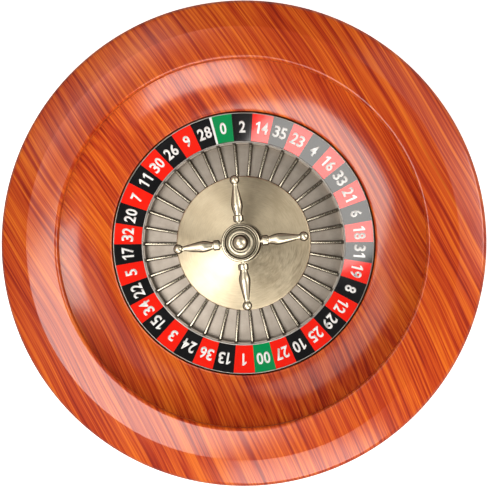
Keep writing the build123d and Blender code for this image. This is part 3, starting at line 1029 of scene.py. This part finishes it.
@dataclass(frozen=True)
class NumberRing:
    """The printed ring with its numerals, and the bright trims at its two edges, in millimetres."""

    steps: int = 304
    labels: tuple[str, ...] = (
        *"0 28 9 26 30 11 7 20 32 17 5 22 34 15 3 24 36 13 1".split(),
        *"00 27 10 25 29 12 8 19 31 18 6 21 33 16 4 23 35 14 2".split(),
    )
    pitch: float = 360 / POCKETS
    gap: float = 0.012
    print_thickness: float = 0.15
    ring_thickness: float = 1.5
    trim_proud: float = 0.4
    joint_width: float = 1.1
    joint_proud: float = 0.02
    numeral_height: float = 12.4
    numeral_radius: float = 121.4
    numeral_weight: float = 0.026
    numeral_proud: float = 0.05
    digit_width: float = 0.54
    digit_advance: float = 0.6
    one: tuple[Point, ...] = (
        (0.0, -0.5), (0.16, -0.5), (0.16, 0.5), (0.03, 0.5), (-0.18, 0.31), (-0.18, 0.16), (0.0, 0.28)
    )

    def face(self) -> tuple[Vector, Vector]:
        """The printed face's inner and outer edge, as (radius, level)."""
        ring, bezel = span("number_ring"), span("inner_bezel")
        return Vector((bezel.outer, bezel.high - self.trim_proud)), Vector((ring.outer, ring.high))

    def slope(self) -> float:
        """The printed face's slope in radians."""
        inner, outer = self.face()
        return math.atan2(outer.y - inner.y, outer.x - inner.x)

    def build(self) -> None:
        """Builds and dresses all of it."""
        edges = self.face()
        outline = [(edge.x, edge.y - self.ring_thickness) for edge in edges]
        outline += [(edge.x, edge.y - self.print_thickness) for edge in reversed(edges)]
        show(turned("number_ring_backing", outline, self.steps), Look.BACKING, ROTOR, "number_ring")
        for look, start, count, stride, skip in (
            (Look.RED, 0, 19, 2, 0), (Look.BLACK, 1, 19, 2, 9), (Look.GREEN, 0, 2, 19, -1)
        ):
            name, first = f"{look.name.lower()}_segments", ZERO_ANGLE + start * self.pitch
            copies = Copies(name, look, ROTOR, count, first, stride * self.pitch, skip)
            copies.show(self.tile(name, self.pitch - self.gap), "number_ring")
        self.numerals()
        outer, wall = edges[1].x, span("pocket_wall").outer
        for name, node, bore, rounding in (
            ("rotor_trim_band", "rotor_band", outer, 0.4), ("ring_bezel", "inner_bezel", wall, 0.5)
        ):
            reach = span(node)
            tops = (reach.outer, reach.high, rounding), (bore, reach.high, rounding)
            outline = rounded((bore, reach.low), (reach.outer, reach.low), *tops, steps=4)
            show(turned(name, outline, self.steps), Look.TRIM, ROTOR, node)

    def tile(self, name: str, width: float, lift: float = 0.0, pieces: int = 8) -> Mesh:
        """One printed tile across the ring at angle zero.

        Args:
            name: The mesh's name.
            width: Its width in degrees.
            lift: How far it stands above the printed face.
            pieces: How many flats follow the ring's curve.

        Returns:
            A closed mesh in metres.
        """
        inner, outer = self.face()
        low, high = Vector((0, lift - self.print_thickness)), Vector((0, lift))
        section = (inner + low, outer + low, outer + high, inner + high)
        rows = []
        for step in range(pieces + 1):
            angle = math.radians(width * (step / pieces - 0.5))
            rows.append([Vector((r * math.cos(angle), r * math.sin(angle), z)) * MM for r, z in section])
        return meshed(name, prism(rows))

    def numerals(self) -> None:
        """The numerals, upright when read from outside the ring's centre, and the ring's joint."""
        (radius, level), _ = self.face()
        slope = self.slope()
        level += (self.numeral_radius - radius) * math.tan(slope)
        tilt = Matrix.Rotation(-slope, 4, "Y") @ Matrix.Rotation(-math.pi / 2, 4, "Z")
        stand = Matrix.Translation(Vector((self.numeral_radius, 0, level)) * MM) @ tilt
        shape = bmesh.new()
        for index, label in enumerate(self.labels):
            mesh = self.numeral(label)
            mesh.transform(Matrix.Rotation(math.radians(ZERO_ANGLE + index * self.pitch), 4, "Z") @ stand)
            shape.from_mesh(mesh)
            bpy.data.meshes.remove(mesh)
        joint = self.tile("ring_joint", self.joint_width, self.joint_proud)
        joint.transform(Matrix.Rotation(math.radians(ZERO_ANGLE + HALF_POCKET), 4, "Z"))
        shape.from_mesh(joint)
        show(meshed("numerals", shape), Look.WHITE, ROTOR)

    def numeral(self, label: str) -> Mesh:
        """One number as a thin closed mesh, centred on the origin and facing up.

        Args:
            label: The digits.

        Returns:
            Its mesh in metres.
        """
        shape = bmesh.new()
        for index, digit in enumerate(label):
            flat = self.digit(digit)
            flat.transform(Matrix.Translation(((index - (len(label) - 1) / 2) * self.digit_advance, 0, 0)))
            shape.from_mesh(flat)
            bpy.data.meshes.remove(flat)
        raised = bmesh.ops.extrude_face_region(shape, geom=list(shape.faces))
        lifted = [item for item in raised["geom"] if isinstance(item, bmesh.types.BMVert)]
        bmesh.ops.translate(shape, verts=lifted, vec=(0, 0, 1))
        bmesh.ops.recalc_face_normals(shape, faces=shape.faces)
        size = self.numeral_height * MM
        fit = Matrix.Diagonal((size, size, self.numeral_proud * MM, 1))
        bmesh.ops.transform(shape, verts=shape.verts, matrix=fit)
        return meshed("numeral", shape)

    def digit(self, digit: str) -> Mesh:
        """One digit as flat faces, one unit high and centred on the origin; a one has a flag.

        Args:
            digit: The digit.

        Returns:
            Its flat mesh.
        """
        shape = bmesh.new()
        if digit == "1":
            shape.faces.new([shape.verts.new((*corner, 0)) for corner in self.one])
            return meshed("one", shape)
        curve = bpy.data.curves.new("digit", "FONT")
        curve.body, curve.offset, curve.resolution_u = digit, self.numeral_weight, 5
        mesh = evaluated(place("digit", curve))
        bpy.data.curves.remove(curve)
        shape.from_mesh(mesh)
        bpy.data.meshes.remove(mesh)
        bmesh.ops.remove_doubles(shape, verts=shape.verts, dist=1e-5)
        xs, ys = ([vertex.co[axis] for vertex in shape.verts] for axis in (0, 1))
        middle = Vector(((max(xs) + min(xs)) / 2, (max(ys) + min(ys)) / 2, 0))
        fit = Matrix.Diagonal((self.digit_width / (max(xs) - min(xs)), 1 / (max(ys) - min(ys)), 1, 1))
        bmesh.ops.transform(shape, verts=shape.verts, matrix=fit @ Matrix.Translation(-middle))
        return meshed("digit", shape)


@dataclass(frozen=True)
class Pockets:
    """The sloping floor, the outer wall and the separators between the pockets, in millimetres."""

    steps: int = 304
    crease: float = 50.0
    wall_thickness: float = 1.6
    floor_low: float = 29.0
    floor_inner: float = 46.0
    fret_gap: float = 0.3
    fret_thickness: float = 1.8
    fret_chamfer: float = 0.45

    def floor(self, radius: float) -> Point:
        """The point (radius, level) of the floor's face at a radius."""
        start, end = span("cone").outer, span("pocket_wall").outer - self.wall_thickness
        return radius, FLOOR_HIGH + (radius - start) / (end - start) * (self.floor_low - FLOOR_HIGH)

    def build(self) -> None:
        """Builds and dresses all of it."""
        low, wall = span("pocket_floor").low, span("pocket_wall")
        seat = self.floor(CONE_SEAT)
        base = [(self.floor_inner, low), (wall.outer, low)]
        outline = [*base, self.floor(wall.outer), seat, (self.floor_inner, seat[1])]
        show(turned("pocket_floor_plate", outline, self.steps), Look.POCKET, ROTOR, "pocket_floor")
        inner = wall.outer - self.wall_thickness
        tops = (wall.outer, wall.high, 0.3), (inner, wall.high, 0.6)
        outline = rounded(self.floor(inner), self.floor(wall.outer), *tops)
        show(turned("pocket_outer_wall", outline, self.steps), Look.POCKET, ROTOR, "pocket_wall")
        copies = Copies("pocket_frets", Look.FRET, ROTOR, POCKETS, ZERO_ANGLE + HALF_POCKET)
        copies.show(self.fret(span("cone").outer + self.fret_gap, inner - self.fret_gap), "frets")

    def fret(self, start: float, end: float) -> Mesh:
        """One separator along X, with its upper edges eased.

        Args:
            start: Where it starts.
            end: Where it ends.

        Returns:
            Its mesh in metres.
        """
        top, half, rows = span("frets").high, self.fret_thickness / 2, []
        for radius in (start, end):
            level = self.floor(radius)[1]
            corners = ((-half, level), (half, level), (half, top), (-half, top))
            rows.append([Vector((radius, side, height)) * MM for side, height in corners])
        shape = prism(rows)
        highest = max(vertex.co.z for vertex in shape.verts)
        eased = [edge for edge in shape.edges if min(vertex.co.z for vertex in edge.verts) > highest - 1e-6]
        chamfer = self.fret_chamfer * MM
        bmesh.ops.bevel(shape, geom=eased, offset=chamfer, segments=3, profile=0.5, affect="EDGES")
        return smooth(meshed("fret", shape), self.crease)


@dataclass(frozen=True)
class Cone:
    """The spun brass cone between the pockets and the turret, in millimetres."""

    steps: int = 256
    floor_fall: float = 4.5 / 33.5
    edge_rounding: float = 1.2
    edge_level: float = 36.5
    edge_sheet: float = 1.1
    top_radius: float = 21.0
    top_rounding: float = 8.0
    bore: float = 15.5
    sheet: float = 2.0
    sheet_slant: float = 0.4

    def build(self) -> None:
        """Builds and dresses it."""
        reach = span("cone")
        outline = rounded(
            (CONE_SEAT, FLOOR_HIGH + (reach.outer - CONE_SEAT) * self.floor_fall),
            (reach.outer, FLOOR_HIGH),
            (reach.outer, self.edge_level, self.edge_rounding),
            (self.top_radius, reach.high, self.top_rounding),
            (self.bore, reach.high),
            (self.bore, reach.high - self.sheet),
            (self.top_radius - self.sheet_slant, reach.high - self.sheet),
            (CONE_SEAT, self.edge_level - self.edge_sheet),
            steps=10,
        )
        show(turned("spun_cone", outline, self.steps), Look.CONE, ROTOR, "cone")


@dataclass(frozen=True)
class Turret:
    """The turned column, the four arms, their boss, the cap and the finial, in millimetres."""

    steps: int = 128
    arm_angle: float = 5.9
    boss_radius: float = 18.0
    foot_radius: float = 11.5
    bead: float = 1.7
    groove: tuple[Corner, ...] = ((12.6, 0.0, 0.2), (14.4, -2.6, 0.2), (16.3, 0.3, 0.2), (16.9, 1.7, 0.5))
    flare: Point = (17.8, 6.5)
    pinch: Point = (9.6, 12.5)
    spigot: Point = (15.5, 5.5)
    stud_depth: float = 15.0
    base_height: float = 3.0
    boss_height: float = 3.5
    bead_seam: float = 0.02
    arm_root: Point = (9.0, 2.0)
    collar_start: float = 21.1
    collar_end: float = 28.6
    collar_step: float = 0.7
    collar_drop: float = 0.6
    arm_radius: float = 5.8
    waist: float = 3.8
    widest: float = 37.6
    taper: Point = (10.0, 1.2)
    neck: float = 2.2
    ball_centre: float = 64.2
    ball_radius: float = 4.9
    cap_radii: tuple[float, float, float] = (10.1, 9.4, 8.6)
    cap_steps: Point = (0.6, 1.6)
    finial_radius: float = 8.0
    finial_neck: float = 5.2
    finial_foot: Point = (7.5, 0.4)
    finial_bore: float = 6.0
    below_top: float = 0.005

    def build(self) -> None:
        """Builds and dresses all of it."""
        self.column()
        self.boss()
        self.arms()
        self.cap()
        self.finial()

    def piece(self, name: str, outline: list[Point], node: str) -> None:
        """Turns one piece about the spindle's axis and dresses it."""
        show(turned(name, outline, self.steps), Look.BRASS, ROTOR, node)

    def column(self) -> None:
        """The flared column that stands on the cone."""
        reach = span("turret_column")
        base, top = span("cone").high, reach.high
        flare, seat = (self.flare[0], base + self.flare[1]), base + self.spigot[1]
        outline = rounded(
            (STUD_RADIUS, top),
            (STUD_RADIUS, top - self.stud_depth),
            (0.0, top - self.stud_depth),
            (0.0, seat),
            (self.spigot[0], seat),
            (self.spigot[0], base),
            (reach.outer, base, 0.5),
            (reach.outer, base + self.base_height, 0.8),
            flare,
        )
        outline += through(flare, (self.pinch[0], base + self.pinch[1]), (self.foot_radius, top), 24)
        self.piece("turret_column_turned", outline, "turret_column")

    def boss(self) -> None:
        """The round boss with a bead round its edge and a groove inside it."""
        reach, radius, bead = span("turret_boss"), self.boss_radius, self.bead
        middle = reach.high - bead
        outline = rounded(
            (radius, middle - bead - self.bead_seam, 0.3),
            (radius, reach.low + self.boss_height, 1.5),
            (self.foot_radius, reach.low, 0.6),
            (STUD_RADIUS, reach.low),
            (STUD_RADIUS, middle),
            *((distance, middle + rise, rounding) for distance, rise, rounding in self.groove),
            steps=5,
        )
        upper = (radius, middle + bead)
        outline += [upper, *through(upper, (radius + bead, middle), (radius, middle - bead), 18)[:-1]]
        self.piece("turret_boss_turned", outline, "turret_boss")

    def arms(self) -> None:
        """Four turned arms, each ending in a ball."""
        low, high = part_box("turret_arm_1")
        (root, stud), waist, neck, ball = self.arm_root, self.waist, self.neck, self.ball_radius
        start = self.ball_centre - math.sqrt(ball**2 - neck**2)
        barrel, shoulder = self.arm_radius - self.collar_drop, self.collar_start + self.collar_step
        end, slope = self.collar_end - self.collar_drop, self.collar_end + self.collar_drop
        outline = [(0.0, root), (stud, root), (stud, self.collar_start)]
        outline += rounded(
            (stud, self.collar_start),
            (waist, self.collar_start, 0.2),
            (waist, shoulder, 0.2),
            (barrel, shoulder, 0.9),
            (barrel, end, 0.9),
            (waist, end, 0.3),
            (waist, self.widest),
        )[1:-1]
        thinner = (self.arm_radius - self.taper[1], self.widest + self.taper[0])
        knots = (waist, slope), (self.arm_radius, self.widest), thinner, (neck, start)
        outline += flowing([Vector(knot) for knot in knots], 10)
        outline += through((neck, start), (ball, self.ball_centre), (0.0, self.ball_centre + ball), 20)
        mesh = turned("turret_arms", outline, 48)
        lift = Matrix.Translation((0, 0, (low.z + high.z) / 2))
        mesh.transform(lift @ Matrix.Rotation(math.pi / 2, 4, "Y"))
        copies = Copies("turret_arms", Look.BRASS, ROTOR, 4, self.arm_angle)
        copies.show(mesh, *(f"turret_arm_{number}" for number in range(1, 5)))

    def cap(self) -> None:
        """The stepped cap on the boss."""
        reach = span("turret_cap")
        wide, middle, narrow = self.cap_radii
        upper, lower = (reach.high - step for step in self.cap_steps)
        outline = rounded(
            (STUD_RADIUS, reach.low),
            (reach.outer, reach.low, 0.4),
            (reach.outer, upper, 1.0),
            (wide, upper, 1.0),
            (middle, lower, 0.2),
            (narrow, lower),
            (narrow, reach.high),
            (STUD_RADIUS, reach.high),
        )
        self.piece("turret_cap_turned", outline, "turret_cap")

    def finial(self) -> None:
        """The ball on a short neck at the very top."""
        reach, ball, neck = span("finial"), self.finial_radius, self.finial_neck
        foot, centre = reach.low, reach.high - ball
        width, step = self.finial_foot[0], foot + self.finial_foot[1]
        neck_top = centre - math.sqrt(ball**2 - neck**2)
        outline = rounded(
            (0.0, foot + self.finial_bore),
            (STUD_RADIUS, foot + self.finial_bore),
            (STUD_RADIUS, foot),
            (width, foot, 0.15),
            (width, step, 0.15),
            (neck, step, 0.1),
            (neck, neck_top),
        )
        outline += through((neck, neck_top), (ball, centre), (0.0, reach.high - self.below_top), 24)
        self.piece("turret_finial", outline, "finial")


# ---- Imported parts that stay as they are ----


def dress_packed() -> None:
    """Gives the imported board, hub, spindle and bearings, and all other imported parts, their finishes."""
    slots = {row["node"]: row.get("material_slot") for row in frame["record"]["subparts"]}
    by_slot = {look.slot: look for look in reversed(Look)}
    for name, node in sorted(frame["nodes"].items()):
        node.data.materials.clear()
        node.data.materials.append(by_slot[slots[name]].material)
        if not node.hide_render:
            LOG.info("%s keeps its packed shape, finish %s", name, slots[name])


# ---- The studio ----


def basis(right: Vector, back: Vector) -> Matrix:
    """The turn that points an object's X to the right and its Z back along the given vectors."""
    return Matrix((right, back.cross(right), back)).transposed().to_4x4()


@dataclass(frozen=True)
class Softbox:
    """A rectangular light that faces the wheel, sizes in metres and angles in degrees."""

    name: str
    azimuth: float
    zenith: float
    distance: float
    width: float
    height: float
    radiance: float

    def hang(self, target: Vector) -> None:
        """Hangs the light.

        Args:
            target: What it faces.
        """
        data = bpy.data.lights.new(self.name, "AREA")
        data.shape, data.size, data.size_y = "RECTANGLE", self.width, self.height
        data.energy = self.radiance * math.pi * self.width * self.height
        data.color = (1.0, 0.975, 0.93)
        light = place(self.name, data)
        around, down = math.radians(self.azimuth), math.radians(self.zenith)
        side = Vector((-math.sin(around), math.cos(around), 0))
        away = Vector((side.y * math.sin(down), -side.x * math.sin(down), math.cos(down)))
        light.matrix_world = Matrix.Translation(target + away * self.distance) @ basis(side, away)
        light.visible_camera = False


@dataclass(frozen=True)
class Studio:
    """A white floor, soft lights and the camera."""

    lean_x: float = 3.2
    lean_y: float = -0.4
    distance: float = 1.7
    aim_level: float = 0.063
    lens: float = 121.9
    shift: Point = (0.0030, -0.0022)
    floor_half: float = 6.0

    def build(self) -> None:
        """Sets up all of it."""
        self.floor()
        self.world()
        target = Vector((0, 0, self.aim_level))
        for box in (
            Softbox("main_softbox", 217.0, 26.5, 2.2, 1.25, 1.3, 6.4),
            Softbox("front_softbox", 283.0, 61.0, 2.2, 1.25, 1.15, 6.4),
            Softbox("side_softbox", 9.0, 64.0, 2.2, 1.0, 1.1, 6.5),
            Softbox("right_fill", 35.0, 38.0, 2.4, 1.6, 1.0, 0.8),
            Softbox("left_fill", 135.0, 38.0, 2.2, 1.4, 1.0, 1.8),
        ):
            box.hang(target)
        self.camera(target)

    def floor(self) -> None:
        """A plain white floor that the wheel stands on, dim in reflections."""
        half = self.floor_half
        shape = bmesh.new()
        corners = ((-half, -half, 0), (half, -half, 0), (half, half, 0), (-half, half, 0))
        shape.faces.new([shape.verts.new(corner) for corner in corners])
        mesh = meshed("floor", shape)
        glow = {"emission_color": (1.0, 1.0, 1.0), "emission_strength": 0.75}
        matt = {"roughness": 0.9, "specular_ior_level": 0.0}
        recipe = Recipe("floor_white", base_color=(0.8, 0.8, 0.8), **matt, **glow)
        dim = recipe.add("ShaderNodeBsdfDiffuse", {"Color": (0.12, 0.12, 0.12, 1.0)})
        rays = recipe.add("ShaderNodeLightPath", {}).outputs["Is Glossy Ray"]
        either = recipe.add("ShaderNodeMixShader", {0: rays, 1: recipe.shader.outputs[0], 2: dim.outputs[0]})
        recipe.tree.links.new(either.outputs[0], recipe.tree.nodes["Material Output"].inputs["Surface"])
        mesh.materials.append(recipe.material)
        place("floor", mesh)

    def world(self) -> None:
        """Dim surroundings that look white to the camera."""
        world = bpy.data.worlds.new("studio")
        bpy.context.scene.world = world
        world.use_nodes = True
        wiring = Wiring(world.node_tree)
        dim = world.node_tree.nodes["Background"]
        dim.inputs["Color"].default_value = (0.05, 0.049, 0.046, 1)
        white = wiring.add("ShaderNodeBackground", {"Color": (1, 1, 1, 1)})
        rays = wiring.add("ShaderNodeLightPath", {}).outputs["Is Camera Ray"]
        either = wiring.add("ShaderNodeMixShader", {0: rays, 1: dim.outputs[0], 2: white.outputs[0]})
        wiring.tree.links.new(either.outputs[0], wiring.tree.nodes["World Output"].inputs["Surface"])

    def camera(self, target: Vector) -> None:
        """The camera above the wheel, leaning a little to the right and away.

        Args:
            target: What it looks at.
        """
        data = bpy.data.cameras.new("camera")
        data.lens, data.sensor_width = self.lens, 36.0
        data.shift_x, data.shift_y = self.shift
        camera = place("camera", data)
        lean = (math.tan(math.radians(angle)) for angle in (self.lean_x, self.lean_y))
        back = Vector((*lean, 1)).normalized()
        right = Vector((0, 1, 0)).cross(back).normalized()
        camera.matrix_world = Matrix.Translation(target + back * self.distance) @ basis(right, back)
        bpy.context.scene.camera = camera


def main() -> None:
    """Builds the wheel and its studio in order."""
    logging.basicConfig(level=logging.INFO, format="%(message)s")
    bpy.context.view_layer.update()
    Studio().build()
    bpy.context.scene.view_settings.view_transform = "Standard"
    for part in (Bowl(), NumberRing(), Pockets(), Cone(), Turret()):
        part.build()
    dress_packed()


if __name__ == "__main__":
    main()
